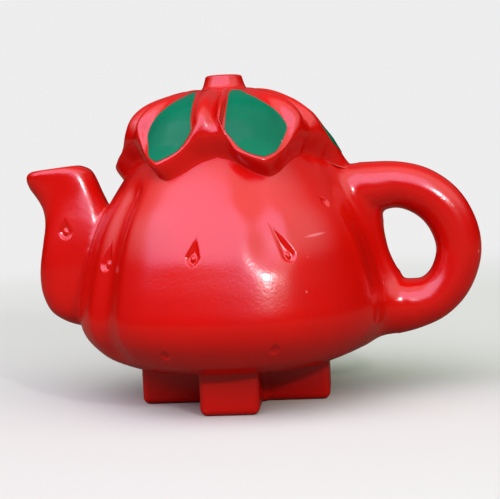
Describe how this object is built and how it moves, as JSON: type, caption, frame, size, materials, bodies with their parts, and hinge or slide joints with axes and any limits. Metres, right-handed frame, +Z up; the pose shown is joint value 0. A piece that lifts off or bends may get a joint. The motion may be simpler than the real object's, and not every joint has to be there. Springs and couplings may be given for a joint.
{
  "type": "toy teapot",
  "caption": "Toy teapot shaped like a strawberry, with a stub spout, a ring handle, a crown of printed leaves and a cross foot that fits between studs.",
  "frame": {"origin": "on the body's upright axis, in the plane of the cross foot's underside", "axes": "+Z up along the body's axis, +X towards the handle, so the spout points to -X and -Y is the side seen in the picture"},
  "size_m": [0.0525, 0.0358, 0.0375],
  "materials": {
    "red_plastic": "glossy",
    "green_print": "glossy"
  },
  "bodies": {
    "root": {"front_shell": "red_plastic", "back_shell": "red_plastic", "leaf_cap": "red_plastic", "leaf_print": "green_print", "cross_foot": "red_plastic"}
  },
  "joints": []
}
